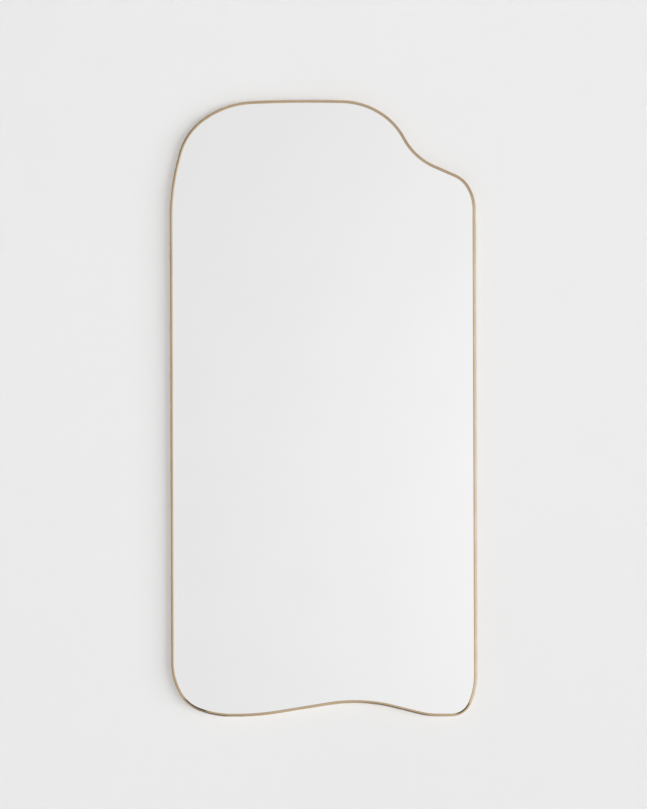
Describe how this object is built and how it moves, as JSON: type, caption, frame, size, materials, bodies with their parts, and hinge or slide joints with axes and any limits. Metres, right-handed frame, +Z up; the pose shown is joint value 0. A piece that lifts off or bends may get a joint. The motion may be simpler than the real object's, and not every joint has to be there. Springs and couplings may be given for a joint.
{
  "type": "wall mirror",
  "caption": "Full-length wall mirror with an irregular, softly waved outline and a slim rounded metal frame, hung on interlocking rails.",
  "frame": {"origin": "middle of the wall rail's row of screw holes, on the wall plane", "axes": "+X to the viewer's right, +Y into the wall, +Z up; the mirror faces -Y and the wall is the plane Y = 0"},
  "size_m": [0.793, 0.0265, 1.6],
  "materials": {
    "frame_metal": "satin champagne brass",
    "silvered_glass": "polished, silvered on the back",
    "backing_film": "matte",
    "foam_tape": "matte closed-cell foam",
    "fibreboard": "medium-density fibreboard, sealed",
    "clip_steel": "zinc plated",
    "screw_steel": "zinc plated",
    "rail_aluminium": "mill finish",
    "bumper_rubber": "matte"
  },
  "bodies": {
    "wall_rail": {"wall_rail": "rail_aluminium"},
    "mirror": {"frame": "frame_metal", "mirror_glass": "silvered_glass", "safety_film": "backing_film", "mounting_tape": "foam_tape", "backing_board": "fibreboard", "clip_left_1": "clip_steel", "clip_left_2": "clip_steel", "clip_left_3": "clip_steel", "clip_left_4": "clip_steel", "clip_right_1": "clip_steel", "clip_right_2": "clip_steel", "clip_right_3": "clip_steel", "clip_right_4": "clip_steel", "clip_top_1": "clip_steel", "clip_top_2": "clip_steel", "clip_belly": "clip_steel", "clip_foot": "clip_steel", "clip_screws": "screw_steel", "mirror_rail": "rail_aluminium", "rail_screws": "screw_steel", "bumper_left": "bumper_rubber", "bumper_right": "bumper_rubber"}
  },
  "joints": [
    {"name": "lift_off", "type": "slide", "parent": "wall_rail", "child": "mirror", "axis": [0, 0, 1], "range_m": [0, 0.011]}
  ]
}
